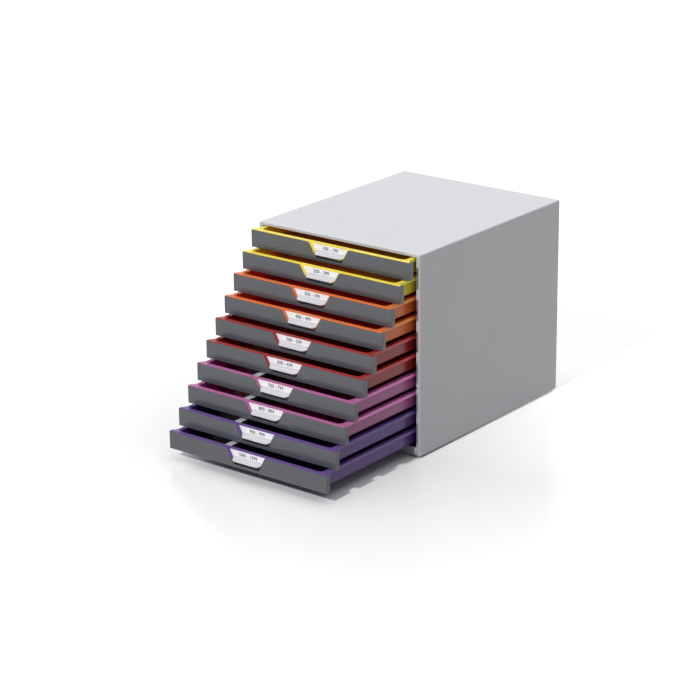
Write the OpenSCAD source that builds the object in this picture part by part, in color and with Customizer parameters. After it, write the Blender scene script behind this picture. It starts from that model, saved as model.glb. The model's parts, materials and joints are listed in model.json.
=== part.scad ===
// Desktop drawer box: ten shallow trays that slide on moulded racks inside one casing.
// The trays stand open in even steps, the top one least and the bottom one most.
// X runs across the front, Y runs from front to back, Z runs up.

/* [Casing] */
// Overall width of the casing
casing_w = 280; // [240:1:320]
// Depth of the casing from its front edge to its back edge
casing_d = 340; // [300:1:400]
// Thickness of the top and the side walls
wall = 2.6; // [2:0.1:4]
// Radius of the long upper edges
edge_r = 2; // [1:0.5:6]
// Height of the casing above the top drawer's pitch
crown_h = 4.5; // [4:0.1:8]
// Width of the rim beside the opening
rim_w = 6.4; // [5:0.1:8]
// Height of the rim above the opening
rim_top_h = 4.6; // [4:0.1:7]
// Depth of the rim
rim_d = 6; // [4:0.5:10]
// Thickness of the base plate
base_t = 2.6; // [2:0.1:4]
// Height of the casing below the lowest drawer's front
base_lift = 12.5; // [8:0.5:16]
// Thickness of the back panel
back_t = 2.4; // [2:0.1:4]
// Depth of the back panel inside the casing's back edge
back_inset = 1.2; // [0.5:0.1:4]
// Depth of the ribs inside the back panel, on which the closed trays stop
back_rib = 2.2; // [1.5:0.1:4]

/* [Feet] */
// Height of the rubber feet
foot_h = 3; // [2:0.5:6]
// Radius of the rubber feet
foot_r = 8; // [5:0.5:12]
// Distance of the feet's centres from the casing's edges
foot_inset = 22; // [16:1:40]

/* [Drawers] */
// Height from one drawer to the next
drawer_pitch = 27.2; // [25:0.1:34]
// Opening of the top drawer
first_open = 11.5; // [0:0.5:30]
// Extra opening of each drawer below it
open_step = 20.3; // [5:0.1:24]
// Travel of a drawer from closed to its stop
travel = 240; // [220:5:250]
// Distance of a closed front's face from the casing's front edge
closed_reach = 9; // [8:0.5:14]

/* [Fronts] */
// Gap between one front and the flange of the tray below it, with the flange
front_gap = 2.4; // [1.8:0.1:3]
// Distance of the front's ends from the casing's sides
front_inset = 2; // [0.5:0.1:3]
// Thickness of the front
front_t = 2.4; // [1.8:0.1:3]
// Depth of the returns at the front's ends
return_d = 8; // [5:0.1:8]
// Radius of the front's upright ends
front_end_r = 1.4; // [0.5:0.1:5]
// Half width of the grip notch at its top
notch_top = 34.4; // [32:0.2:44]
// Half width of the grip notch at its bottom
notch_bottom = 22.6; // [20:0.2:26]
// Height of the notch's bottom edge above the front's bottom edge
notch_floor = 4; // [3.5:0.1:5]
// Radius of the notch's corners
notch_r = 5; // [2:0.5:7]

/* [Trays] */
// Thickness of the tray walls and floor
tray_t = 1.6; // [1.2:0.1:2.4]
// Height of the tray's underside above its front's bottom edge
tray_lift = 2.5; // [1.5:0.1:4]
// Width of the side flanges
flange_w = 4.8; // [4:0.1:6]
// Thickness of the flanges
flange_t = 1.2; // [1:0.1:1.6]
// Height of the side flanges with their outer lips
flange_h = 4.6; // [3.5:0.1:6]
// Thickness of the flange's outer lip
lip_t = 1.4; // [1:0.1:2]
// Radius of the tray's long lower edges
tray_edge_r = 3; // [2:0.5:5]
// Radius of the tray's inner corners seen from above
tray_corner_r = 6; // [3:0.5:10]
// How far the stop lugs stand out of the flanges
lug_out = 0.9; // [0.7:0.1:1.4]
// Length of the stop lugs
lug_len = 6; // [4:0.5:10]

/* [Racks] */
// Thickness of the rack's upright web
web_t = 2; // [1.5:0.1:3]
// Distance of the web from the casing wall
web_stand = 3.2; // [2.5:0.1:5]
// Thickness of the rails under the flanges
rail_t = 1.8; // [1.4:0.1:2.4]
// Thickness of the keepers over the flanges
keeper_t = 1.3; // [1:0.1:1.8]
// Length of the stop bosses behind the rack's front end
boss_len = 4; // [3:0.5:8]

/* [Labels] */
// Depth of the window behind the front's face
window_set = 3.3; // [2.4:0.1:4]
// Thickness of the clear window
window_t = 1.1; // [0.8:0.1:1.6]
// Thickness of the paper card
card_t = 0.4; // [0.3:0.05:0.6]
// Height of the window's lower edge above the front's bottom edge
window_floor = 11.2; // [10:0.2:14]
// Depth of the window's upper edge below the flange's top
window_drop = 3; // [1:0.2:4]
// Height of the flared part of the window
flare_h = 6; // [5:0.1:8]
// How far the finger lip stands out of the front's face
lip_reach = 7; // [4:0.5:9]
// Half width of the finger lip
lip_half = 22; // [16:0.5:22]
// Radius of the finger lip's ends seen from above
lip_r = 6; // [3:0.5:7]

/* [Divider] */
// Distance of the divider's centre line from the drawer's centre
divider_x = -37.6; // [-60:0.2:-20]
// Width of the divider
divider_w = 9.6; // [5:0.1:12]
// Thickness of the divider's sheet
divider_t = 1.2; // [1:0.1:2]

/* [Hidden] */
drawer_count = 10;
drawers_per_rack = 2;
first_divided = 7;
arc_steps = 5;
foot_steps = 48;
// Running gap between a tray and the rack, and between parts that fit
run_gap = 0.3;
fit_gap = 0.2;
// Overlap of shapes that are fused, and overshoot of shapes that cut
fuse = 0.01;
over = 1;

casing_top = foot_h + base_lift + drawer_pitch * drawer_count + crown_h;
casing_in = casing_w / 2 - wall;
opening_half = casing_w / 2 - rim_w;
opening_top = casing_top - rim_top_h;
base_top = foot_h + base_t;
base_rib_top = foot_h + base_lift - 1.2;
back_in = casing_d - back_inset - back_t;
back_stop = back_in - back_rib;
lowest_open = first_open + open_step * (drawer_count - 1);
casing_y = (closed_reach + lowest_open + lip_reach - casing_d) / 2;

clip_h = 3.2;
clip_in = 1.6;
clip_z = drawer_pitch * (drawers_per_rack - 1) + 3.2;
back_rib_w = 2.4;
back_border = 14;
back_field_depth = 0.8;
back_field_r = 5;

front_h = drawer_pitch - front_gap;
front_half = casing_w / 2 - front_inset;
rim_z = front_h + flange_t;
web_in = casing_in - web_stand - web_t;
flange_half = web_in - run_gap - lug_out;
tray_half = flange_half - flange_w;
flange_floor = rim_z - flange_h;
flange_start = return_d + 1;
rim_front = 0.4;
rim_half = front_half - 1.5;

card_front = window_set + window_t + fit_gap / 2;
card_back = card_front + card_t;
tray_front = card_back + fit_gap;
tray_back = closed_reach + back_stop - run_gap;
hollow_front = tray_front + tray_t;
hollow_back = tray_back - tray_t;
lug_z = flange_floor + 0.9;
lug_y = closed_reach + rim_d + fit_gap + boss_len + run_gap + travel;

pocket_t = 1.2;
pocket_back = tray_front - fit_gap / 2;
collar_floor = window_floor - 0.6;
collar_t = 1.2;
pocket_top = collar_floor - 0.4;
clip_rib_t = 1.6;
clip_rib_x = [48, 76, 112];

rack_count = drawer_count / drawers_per_rack;
rack_front = rim_d + fit_gap;
rack_back = back_stop - over;
rack_edge = 0.6;
rack_low = rim_z + run_gap + keeper_t + rack_edge + fit_gap - drawer_pitch;
rack_high = rack_low + drawers_per_rack * drawer_pitch - fit_gap;
rail_half = tray_half + 0.4;
keeper_half = rail_half + 0.8;
spacer_t = 2;
spacer_count = 6;

guide_t = 1.2;
guide_d = 1.5;
guide_h = 14;
divider_top = rim_z - 0.4;
groove_w = 0.8;
groove_d = 0.4;

casing_grey = [0.76, 0.76, 0.78];
inner_grey = [0.62, 0.62, 0.64];
front_grey = [0.24, 0.25, 0.27];
rubber_black = [0.08, 0.08, 0.08];
clear = [0.9, 0.93, 0.95, 0.4];
paper = [0.95, 0.95, 0.94];
tray_colors = ["gold", "darkorange", "firebrick", "orchid", "indigo"];

// Number of a drawer with two digits
function two_digits(k) = k < 10 ? str("0", k) : str(k);
// Height of a drawer's front above the floor; the drawers are counted from the top
function drawer_z(k) = foot_h + base_lift + drawer_pitch * (drawer_count - k);
// Height of a rack's lower drawer; the racks are counted from the top
function rack_z(j) = drawer_z(j * drawers_per_rack);
// Opening of a drawer in the stepped pose
function opening(k) = first_open + open_step * (k - 1);
// Unit vector along v
function unit(v) = v / norm(v);
// Arc of radius r that rounds the corner p between its neighbours a and b
function rounded_corner(a, p, b, r) =
    let (
        u = unit(a - p),
        v = unit(b - p),
        half = acos(u * v) / 2,
        centre = p + unit(u + v) * r / sin(half),
        from = p + u * r / tan(half) - centre,
        to = p + v * r / tan(half) - centre,
        start = atan2(from[1], from[0]),
        turn = (atan2(to[1], to[0]) - start + 540) % 360 - 180
    )
    [for (i = [0:arc_steps])
        let (angle = start + turn * i / arc_steps)
        centre + r * [cos(angle), sin(angle)]];
// Outline whose corners are rounded by the list radii, where 0 leaves a corner sharp
function smooth(points, radii) =
    let (n = len(points))
    [for (i = [0:n - 1]) each radii[i] == 0
        ? [points[i]]
        : rounded_corner(points[(i + n - 1) % n], points[i], points[(i + 1) % n], radii[i])];
// A half outline continued with its mirror image
function both_sides(points) = concat(points, [for (i = [len(points) - 1:-1:0]) [-points[i][0], points[i][1]]]);
// A list continued with itself backwards
function there_and_back(list) = concat(list, [for (i = [len(list) - 1:-1:0]) list[i]]);
// Half width of the grip notch at a height above the front's bottom edge
function notch_half(z) = notch_bottom + (notch_top - notch_bottom) * (z - notch_floor) / (front_h - notch_floor);
// Half width between the collars that line the notch, at the same height
function collar_half(z) = notch_half(z) - fit_gap - collar_t;

// Outline in X and Z, drawn out along Y from y0 to y1
module along_y(y0, y1) {
    translate([0, y1, 0])
        rotate([90, 0, 0])
            linear_extrude(y1 - y0)
                children();
}

// Block between its low and high corners
module block(low, high) {
    translate(low)
        cube(high - low);
}

// The shape and its mirror image across the middle
module on_both_sides() {
    children();
    mirror([1, 0, 0])
        children();
}

// Places shapes whose Y = 0 is the casing's front edge
module in_casing() {
    translate([0, casing_y, 0])
        children();
}

// Places shapes whose Y = 0 is the front's face and whose Z = 0 is its bottom edge
module in_drawer(k) {
    translate([0, casing_y - closed_reach - opening(k), drawer_z(k)])
        children();
}

// Arched section of the casing, inset from its outer surface
module arch(inset) {
    side = casing_w / 2 - inset;
    bottom = inset > 0 ? foot_h - over : foot_h;
    polygon(smooth(
        both_sides([[side, bottom], [side, casing_top - inset]]),
        there_and_back([0, max(0, edge_r - inset)])
    ));
}

module casing_hood() {
    color(casing_grey)
        in_casing()
            difference() {
                along_y(0, casing_d) arch(0);
                along_y(rim_d, casing_d + over) arch(wall);
                block([-opening_half, -over, foot_h - over], [opening_half, rim_d + over, opening_top]);
                on_both_sides()
                    for (j = [1:rack_count])
                        block(
                            [opening_half - over, -over, rack_z(j) + clip_z],
                            [opening_half + clip_in, rim_d + over, rack_z(j) + clip_z + clip_h]
                        );
            }
}

module base_plate() {
    side = casing_in - fit_gap;
    lip = opening_half - fit_gap;
    color(casing_grey)
        in_casing() {
            block([-side, rack_front, foot_h], [side, back_in + back_t, base_top]);
            block([-lip, 0, foot_h], [lip, rack_front + fuse, base_top]);
            block([-lip, 0, foot_h], [lip, wall, base_rib_top]);
            for (i = [1:4]) {
                block(
                    [fit_gap - web_in, i * back_in / 5, base_top - fuse],
                    [web_in - fit_gap, i * back_in / 5 + wall, base_rib_top]
                );
                on_both_sides()
                    block(
                        [web_in - fit_gap - fuse, i * back_in / 5, base_top - fuse],
                        [side, i * back_in / 5 + wall, rack_z(rack_count) + rack_low]
                    );
            }
        }
}

module back_panel() {
    side = casing_in - fit_gap;
    top = casing_top - wall - fit_gap;
    color(casing_grey)
        in_casing()
            difference() {
                union() {
                    along_y(back_in, back_in + back_t)
                        polygon(smooth(
                            both_sides([[side, base_top], [side, top]]),
                            there_and_back([0, max(0, edge_r - wall)])
                        ));
                    for (x = [-1.5, -0.5, 0.5, 1.5] * side / 2)
                        block(
                            [x - back_rib_w / 2, back_stop, base_top],
                            [x + back_rib_w / 2, back_in + fuse, opening_top]
                        );
                }
                along_y(back_in + back_t - back_field_depth, back_in + back_t + over)
                    polygon(smooth(
                        both_sides([
                            [side - back_border, base_top + back_border], [side - back_border, top - back_border]
                        ]),
                        there_and_back([back_field_r, back_field_r])
                    ));
            }
}

// Section of a right-hand rack: an upright web with a rail and a keeper for each flange
module rack_section() {
    translate([web_in, rack_low])
        square([web_t, rack_high - rack_low]);
    for (i = [0:drawers_per_rack - 1]) {
        translate([rail_half, i * drawer_pitch + flange_floor - run_gap - rail_t])
            square([web_in - rail_half + fuse, rail_t]);
        translate([keeper_half, i * drawer_pitch + rim_z + run_gap])
            square([web_in - keeper_half + fuse, keeper_t]);
    }
}

// A right-hand rack, with spacers to the casing's wall, stop bosses and a clip for the rim
module rack(j) {
    translate([0, 0, rack_z(j)]) {
        along_y(rack_front, rack_back) rack_section();
        for (i = [0:spacer_count - 1])
            let (y = rack_front + i * (rack_back - rack_front - spacer_t) / (spacer_count - 1))
            block([web_in + web_t - fuse, y, rack_low], [casing_in, y + spacer_t, rack_high - edge_r / 2]);
        for (i = [0:drawers_per_rack - 1])
            block(
                [flange_half + run_gap, rack_front, i * drawer_pitch + lug_z],
                [web_in + fuse, rack_front + boss_len, i * drawer_pitch + front_h]
            );
        block(
            [web_in, rim_d / 2, clip_z + 2 * fit_gap],
            [opening_half + clip_in - fit_gap, rack_front + fuse, clip_z + clip_h - 2 * fit_gap]
        );
    }
}

module rack_left(j) {
    color(inner_grey)
        in_casing()
            mirror([1, 0, 0])
                rack(j);
}

module rack_right(j) {
    color(inner_grey)
        in_casing()
            rack(j);
}

module feet() {
    color(rubber_black)
        in_casing()
            for (x = [foot_inset - casing_w / 2, casing_w / 2 - foot_inset])
                for (y = [foot_inset, casing_d - foot_inset])
                    translate([x, y, 0])
                        cylinder(h = foot_h, r1 = foot_r - foot_h / 4, r2 = foot_r, $fn = foot_steps);
}

// Section of the tray, or of its hollow where inset is the wall's thickness
module tray_section(inset) {
    half = tray_half - inset;
    top = inset > 0 ? rim_z + over : rim_z;
    r = tray_edge_r - inset / 2;
    polygon(smooth(both_sides([[half, top], [half, tray_lift + inset]]), there_and_back([0, r])));
}

// The hollow of the tray, with round upright corners
module tray_hollow() {
    half = tray_half - tray_t;
    intersection() {
        along_y(hollow_front, hollow_back) tray_section(tray_t);
        linear_extrude(rim_z + 2 * over)
            polygon(smooth(
                both_sides([[half, hollow_front], [half, hollow_back]]),
                there_and_back([tray_corner_r, tray_corner_r])
            ));
    }
}

// The flange round the tray, which widens over the front's upper edge
module tray_flange() {
    translate([0, 0, front_h])
        linear_extrude(flange_t)
            polygon(both_sides([
                [flange_half, tray_back], [flange_half, flange_start + 2],
                [rim_half, front_t], [rim_half, rim_front]
            ]));
    on_both_sides() {
        block([flange_half - lip_t, flange_start, flange_floor], [flange_half, tray_back, front_h + fuse]);
        block([flange_half - fuse, lug_y, lug_z], [flange_half + lug_out, lug_y + lug_len, front_h]);
    }
}

// Solid of the collar that lines the slopes of the grip notch
module notch_collar() {
    along_y(rim_front, tray_front + fuse)
        polygon(smooth(
            both_sides([
                [notch_top + notch_r, rim_z], [notch_top + notch_r, front_h],
                [notch_top - fit_gap, front_h], [notch_half(collar_floor) - fit_gap, collar_floor]
            ]),
            there_and_back([0, 0, notch_r, 0])
        ));
}

// Room for the window between the collars, in front of the tray's wall
module window_room() {
    low = collar_floor - over;
    high = rim_z + over;
    along_y(-over, tray_front)
        polygon(both_sides([[collar_half(high), high], [collar_half(low), low]]));
}

// Short upright ribs at both ends of the tray that keep a divider in its place
module divider_guides() {
    for (x = [divider_x - divider_w / 2 - fit_gap - guide_t, divider_x + divider_w / 2 + fit_gap]) {
        block([x, hollow_front - fuse, tray_lift + tray_t - fuse], [x + guide_t, hollow_front + guide_d, guide_h]);
        block([x, hollow_back - guide_d, tray_lift + tray_t - fuse], [x + guide_t, hollow_back + fuse, guide_h]);
    }
}

module drawer_tray(k) {
    color(tray_colors[floor((k - 1) / 2)])
        in_drawer(k) {
            difference() {
                union() {
                    along_y(tray_front, tray_back) tray_section(0);
                    difference() {
                        union() {
                            tray_flange();
                            notch_collar();
                        }
                        window_room();
                    }
                }
                tray_hollow();
            }
            divider_guides();
        }
}

// The front seen from above: a plate with rounded ends and short returns
module front_plan() {
    inner = front_half - front_t;
    polygon(smooth(
        both_sides([
            [inner, front_t], [inner, return_d], [front_half, return_d], [front_half, 0]
        ]),
        there_and_back([max(0, front_end_r - front_t), 0, 0, front_end_r])
    ));
}

// The front seen square on, with the grip notch in its upper edge
module front_outline() {
    polygon(smooth(
        both_sides([[front_half, 0], [front_half, front_h], [notch_top, front_h], [notch_bottom, notch_floor]]),
        there_and_back([0, 0, notch_r, notch_r])
    ));
}

// Lower part of the notch, grown by the pocket's wall, up to its top
module pocket_outline(grown, top) {
    polygon(smooth(
        both_sides([[notch_half(top) + grown, top], [notch_bottom + grown, notch_floor - grown]]),
        there_and_back([0, notch_r + grown])
    ));
}

module drawer_front(k) {
    color(front_grey)
        in_drawer(k) {
            intersection() {
                translate([0, 0, -over])
                    linear_extrude(front_h + 2 * over)
                        front_plan();
                along_y(-over, return_d + over) front_outline();
            }
            difference() {
                along_y(front_t - fuse, pocket_back) pocket_outline(pocket_t, pocket_top);
                along_y(0, pocket_back - pocket_t) pocket_outline(0, pocket_top + over);
            }
            on_both_sides()
                for (x = clip_rib_x)
                    block([x, front_t - fuse, clip_rib_t], [x + clip_rib_t, tray_front, front_h]);
        }
}

// Solid of the finger lip and its slope, inset from the window's outer surface, down to the height low
module flare(inset, back, low) {
    half = lip_half - inset;
    top = window_floor + flare_h - inset;
    hull() {
        translate([0, 0, low])
            linear_extrude(window_floor + window_t - inset / 2 - low)
                polygon(smooth(
                    both_sides([[half, back], [half, inset - lip_reach]]),
                    there_and_back([0, lip_r - inset])
                ));
        block([2 - half, window_set + inset, top - fit_gap], [half - 2, back, top]);
    }
}

// Label plate that flares into the finger lip, inset from the window's outer surface
module label_shell(inset, thickness, side_gap) {
    face = window_set + inset;
    back = face + thickness;
    top = rim_z - window_drop;
    difference() {
        union() {
            along_y(face, back)
                polygon(both_sides([
                    [collar_half(top) - side_gap, top], [collar_half(window_floor) - side_gap, window_floor]
                ]));
            flare(inset, back, window_floor);
        }
        flare(inset + thickness, back + over, window_floor - over);
    }
}

module label_window(k) {
    color(clear)
        in_drawer(k)
            label_shell(0, window_t, fit_gap);
}

module label_card(k) {
    color(paper)
        in_drawer(k)
            label_shell(window_t + fit_gap / 2, card_t, 3 * fit_gap);
}

module tray_divider(k) {
    floor_z = tray_lift + tray_t;
    half = divider_w / 2;
    color(clear)
        in_drawer(k)
            translate([divider_x, 0, 0])
                along_y(hollow_front + fit_gap, hollow_back - fit_gap)
                    difference() {
                        polygon(both_sides([[half, floor_z], [half, divider_top]]));
                        polygon(both_sides([
                            [half - divider_t, floor_z - over], [half - divider_t, divider_top - divider_t]
                        ]));
                        for (x = [-divider_w / 6, divider_w / 6])
                            translate([x - groove_w / 2, divider_top - groove_d])
                                square([groove_w, 2 * groove_d]);
                    }
}

casing_hood();
base_plate();
back_panel();
feet();
for (j = [1:rack_count]) {
    rack_left(j);
    rack_right(j);
}
for (k = [1:drawer_count]) {
    drawer_tray(k);
    drawer_front(k);
    label_window(k);
    label_card(k);
}
for (k = [first_divided:drawer_count])
    tray_divider(k);
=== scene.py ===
# %% [markdown]
# # A drawer box with coloured trays
# We dress a desktop drawer box: a pale casing, ten shallow drawers that stand open like a staircase, dark
# fronts, coloured trays and small clear windows that hold paper labels.
# The construction model gives the exact sizes. It is loaded as a fixed frame of named nodes and bodies, in
# metres, with X across the front, Y from front to back and Z up.

# %% Load the frame
import json
import math
import bmesh
import bpy
from mathutils import Matrix, Vector


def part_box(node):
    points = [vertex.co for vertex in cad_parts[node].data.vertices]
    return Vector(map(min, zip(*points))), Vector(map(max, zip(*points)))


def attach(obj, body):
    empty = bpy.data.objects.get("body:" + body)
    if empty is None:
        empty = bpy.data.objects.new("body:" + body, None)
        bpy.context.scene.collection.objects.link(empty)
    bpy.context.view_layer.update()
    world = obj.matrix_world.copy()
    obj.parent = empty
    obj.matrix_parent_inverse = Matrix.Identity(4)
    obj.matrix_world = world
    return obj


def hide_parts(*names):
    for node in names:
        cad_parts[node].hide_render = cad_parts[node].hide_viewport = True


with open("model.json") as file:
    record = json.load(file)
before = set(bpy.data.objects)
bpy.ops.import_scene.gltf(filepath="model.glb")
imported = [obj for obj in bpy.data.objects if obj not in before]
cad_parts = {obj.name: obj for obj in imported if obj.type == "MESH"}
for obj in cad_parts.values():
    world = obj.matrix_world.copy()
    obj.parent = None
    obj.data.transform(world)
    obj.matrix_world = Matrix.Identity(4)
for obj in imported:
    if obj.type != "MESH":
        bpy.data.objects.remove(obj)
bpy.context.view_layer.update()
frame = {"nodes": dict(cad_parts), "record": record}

MM = 0.001

# %% [markdown]
# ## Camera
# Product pictures of boxes are taken from some distance with a long lens, so that upright edges stay nearly
# parallel. We write the camera's place and the direction in which it looks, and turn that into a matrix:
# its columns are the camera's right, its up and its back.

# %% Place the camera
CAMERA_PLACE = Vector((1.8760, -2.4246, 1.1853))
CAMERA_AZIMUTH = math.radians(38.19)
CAMERA_ELEVATION = math.radians(19.307)
CAMERA_ROLL = math.radians(-0.608)
SENSOR_WIDTH = 36.0
FOCAL_LENGTH = 118.12

look = Vector((
    -math.sin(CAMERA_AZIMUTH) * math.cos(CAMERA_ELEVATION),
    math.cos(CAMERA_AZIMUTH) * math.cos(CAMERA_ELEVATION),
    -math.sin(CAMERA_ELEVATION),
))
level_right = look.cross(Vector((0, 0, 1))).normalized()
level_up = level_right.cross(look)
right = level_right * math.cos(CAMERA_ROLL) + level_up * math.sin(CAMERA_ROLL)
up = level_up * math.cos(CAMERA_ROLL) - level_right * math.sin(CAMERA_ROLL)

camera_data = bpy.data.cameras.new("camera")
camera_data.sensor_width = SENSOR_WIDTH
camera_data.lens = FOCAL_LENGTH
camera_data.clip_start = 0.05
camera_data.clip_end = 60.0
camera = bpy.data.objects.new("camera", camera_data)
turn = Matrix((right, up, -look)).transposed().to_4x4()
camera.matrix_world = Matrix.Translation(CAMERA_PLACE) @ turn
bpy.context.scene.collection.objects.link(camera)
bpy.context.scene.camera = camera
print("camera stands", round(CAMERA_PLACE.length, 2), "m from the middle")

# %% [markdown]
# The view transform stays on Standard, so that a colour is shown as it is written.

# %% Set the view
bpy.context.scene.view_settings.view_transform = "Standard"
print("view transform:", bpy.context.scene.view_settings.view_transform)

# %% [markdown]
# ## Node helpers
# Every finish is a small tree of shader nodes. A few helpers keep the trees short: one adds a node with its
# settings, one links two sockets, one turns display values into the linear ones that shaders use, and one
# makes an empty material with one Principled shader.

# %% Helpers for node trees
def add_node(tree, kind, inputs=None, **settings):
    """A node of the given kind, with its settings and the values of its unlinked inputs."""
    node = tree.nodes.new(kind)
    for key, value in settings.items():
        setattr(node, key, value)
    for key, value in (inputs or {}).items():
        node.inputs[key].default_value = value
    return node


def wire(tree, source, target):
    """Links an output socket to an input socket."""
    tree.links.new(source, target)


def srgb(red, green, blue):
    """Display values from 0 to 255 as a linear colour."""
    def linear(v):
        """One display value as a linear one, by the sRGB standard's own formula."""
        v /= 255.0
        return v / 12.92 if v <= 0.04045 else ((v + 0.055) / 1.055) ** 2.4
    return (linear(red), linear(green), linear(blue), 1.0)


def new_material(name):
    """A material with a node tree, its Principled shader and its output."""
    material = bpy.data.materials.new(name)
    material.use_nodes = True
    tree = material.node_tree
    tree.nodes.clear()
    output = add_node(tree, "ShaderNodeOutputMaterial")
    shader = add_node(tree, "ShaderNodeBsdfPrincipled")
    wire(tree, shader.outputs["BSDF"], output.inputs["Surface"])
    return material, tree, shader


print("a display grey of 128 is", round(srgb(128, 128, 128)[0], 3), "in a shader")

# %% [markdown]
# ## Floor and world
# The box stands on a wide white floor. It must look white where nothing shades it, and still hold the soft
# shadow of the box. A white floor would also throw much light back up, which makes every shadow pale. So the
# floor is white for rays that come straight from the camera, from a gloss or through a clear part, and a
# darker grey for the scattered light. The world does the same: white where it is seen, dimmer as a light.
# A faint glow, for the same rays only, keeps the far floor white and the long shadow behind the box pale.

# %% Tell the rays apart
def seen_directly(tree):
    """A value that is 1 for rays from the camera, a gloss or a clear part, and 0 for the others."""
    path = add_node(tree, "ShaderNodeLightPath")
    either = add_node(tree, "ShaderNodeMath", operation="MAXIMUM")
    any_of_three = add_node(tree, "ShaderNodeMath", operation="MAXIMUM")
    wire(tree, path.outputs["Is Camera Ray"], either.inputs[0])
    wire(tree, path.outputs["Is Glossy Ray"], either.inputs[1])
    wire(tree, either.outputs[0], any_of_three.inputs[0])
    wire(tree, path.outputs["Is Transmission Ray"], any_of_three.inputs[1])
    return any_of_three.outputs[0]


# %% Make the floor
# Each glow has its strength and the two places, in metres from the middle, between which it comes up
FLOOR_SIZE = 24.0
FLOOR_SEEN, FLOOR_BOUNCE = 0.87, 0.36
BACK_GLOW, BACK_START, BACK_FULL = 0.34, -0.05, 0.35
FAR_GLOW, FAR_START, FAR_FULL = 0.15, 0.30, 0.56
WHITE = (1.0, 1.0, 1.0, 1.0)

floor_material, tree, shader = new_material("pale_floor")
shade = add_node(tree, "ShaderNodeMapRange", inputs={"To Min": FLOOR_BOUNCE, "To Max": FLOOR_SEEN})
seen = seen_directly(tree)
wire(tree, seen, shade.inputs["Value"])
wire(tree, shade.outputs["Result"], shader.inputs["Base Color"])
place = add_node(tree, "ShaderNodeTexCoord").outputs["Object"]
depth = add_node(tree, "ShaderNodeSeparateXYZ")
wire(tree, place, depth.inputs["Vector"])
behind = add_node(tree, "ShaderNodeMapRange", inputs={
    "From Min": BACK_START, "From Max": BACK_FULL, "To Max": BACK_GLOW
})
wire(tree, depth.outputs["Y"], behind.inputs["Value"])
distance = add_node(tree, "ShaderNodeVectorMath", operation="LENGTH")
wire(tree, place, distance.inputs[0])
far = add_node(tree, "ShaderNodeMapRange", inputs={
    "From Min": FAR_START, "From Max": FAR_FULL, "To Max": FAR_GLOW
})
wire(tree, distance.outputs["Value"], far.inputs["Value"])
stronger = add_node(tree, "ShaderNodeMath", operation="MAXIMUM")
wire(tree, behind.outputs["Result"], stronger.inputs[0])
wire(tree, far.outputs["Result"], stronger.inputs[1])
glow = add_node(tree, "ShaderNodeMath", operation="MULTIPLY")
wire(tree, seen, glow.inputs[0])
wire(tree, stronger.outputs[0], glow.inputs[1])
wire(tree, glow.outputs[0], shader.inputs["Emission Strength"])
shader.inputs["Emission Color"].default_value = WHITE
shader.inputs["Roughness"].default_value = 0.22
shader.inputs["Specular IOR Level"].default_value = 0.5

half = FLOOR_SIZE / 2
floor_mesh = bpy.data.meshes.new("floor")
floor_mesh.from_pydata(
    [(-half, -half, 0), (half, -half, 0), (half, half, 0), (-half, half, 0)], [], [(0, 1, 2, 3)]
)
floor_mesh.materials.append(floor_material)
floor = bpy.data.objects.new("floor", floor_mesh)
bpy.context.scene.collection.objects.link(floor)
print("floor of", FLOOR_SIZE, "m")

# %% Make the world
WORLD_LEVEL = 0.25
world = bpy.data.worlds.new("studio")
bpy.context.scene.world = world
world.use_nodes = True
tree = world.node_tree
tree.nodes.clear()
output = add_node(tree, "ShaderNodeOutputWorld")
backdrop = add_node(tree, "ShaderNodeBackground", inputs={"Color": WHITE})
level = add_node(tree, "ShaderNodeMapRange", inputs={"To Min": WORLD_LEVEL, "To Max": 1.0})
wire(tree, seen_directly(tree), level.inputs["Value"])
wire(tree, level.outputs["Result"], backdrop.inputs["Strength"])
wire(tree, backdrop.outputs["Background"], output.inputs["Surface"])
print("world level as a light:", WORLD_LEVEL)

# %% [markdown]
# ## Lamps
# Sun lamps light the box and the whole floor evenly, so that the floor doesn't darken towards its edges. The
# key comes from the front and above. Its disc is small, so that the drawers throw clear shadows onto the
# casing. A second, very wide one from overhead brightens the top and softens the shadows.
# A sun's strength is divided by pi where it meets a matt surface, so we write the light that arrives and
# multiply it by pi.

# %% Hang the lamps
def hang_sun(name, direction, light, spread):
    """A sun that shines from the given direction; light is what arrives, spread the width of its disc."""
    data = bpy.data.lights.new(name, "SUN")
    data.energy = light * math.pi
    data.angle = math.radians(spread)
    lamp = bpy.data.objects.new(name, data)
    lamp.rotation_euler = Vector(direction).to_track_quat("Z", "Y").to_euler()
    bpy.context.scene.collection.objects.link(lamp)
    print(name, "gives", light)


hang_sun("key_sun", (0.02, -1.0, 0.86), 0.72, 2.5)
hang_sun("overhead_sun", (0.0, 0.15, 1.0), 0.40, 60.0)

# %% [markdown]
# ## Moulded plastic
# All hard parts are injection moulded. Their surface is never one flat colour: the pigment varies a little
# over a hand's width, the mould leaves a fine grain, the gloss is uneven, and edges that are touched get
# lighter and duller. One function writes that tree, and each finish gives it other numbers.
# The grain reads Object coordinates, so it has the same size on every part. The edge mask compares the true
# normal with one that is rounded over a small radius: they differ only close to an edge.
# Some parts get painted shade, such as the inside of a tray. An attribute on their points, from 0 to 1,
# mixes in a darker second colour there, a painted shade, and takes away some of the gloss.

# %% Clouds and edges
EDGE_RADIUS, EDGE_FULL = 0.8 * MM, 0.7
NOISE_LOW, NOISE_HIGH = 0.3, 0.7

def cloud_values(tree, scale, detail, low, high, place):
    """Noise over the piece, spread from low to high: most of it lies in the middle of its own range."""
    clouds = add_node(tree, "ShaderNodeTexNoise", inputs={"Scale": scale, "Detail": detail})
    wire(tree, place, clouds.inputs["Vector"])
    spread = add_node(tree, "ShaderNodeMapRange", inputs={
        "From Min": NOISE_LOW, "From Max": NOISE_HIGH, "To Min": low, "To Max": high
    })
    wire(tree, clouds.outputs["Fac"], spread.inputs["Value"])
    return spread.outputs["Result"]


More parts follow.
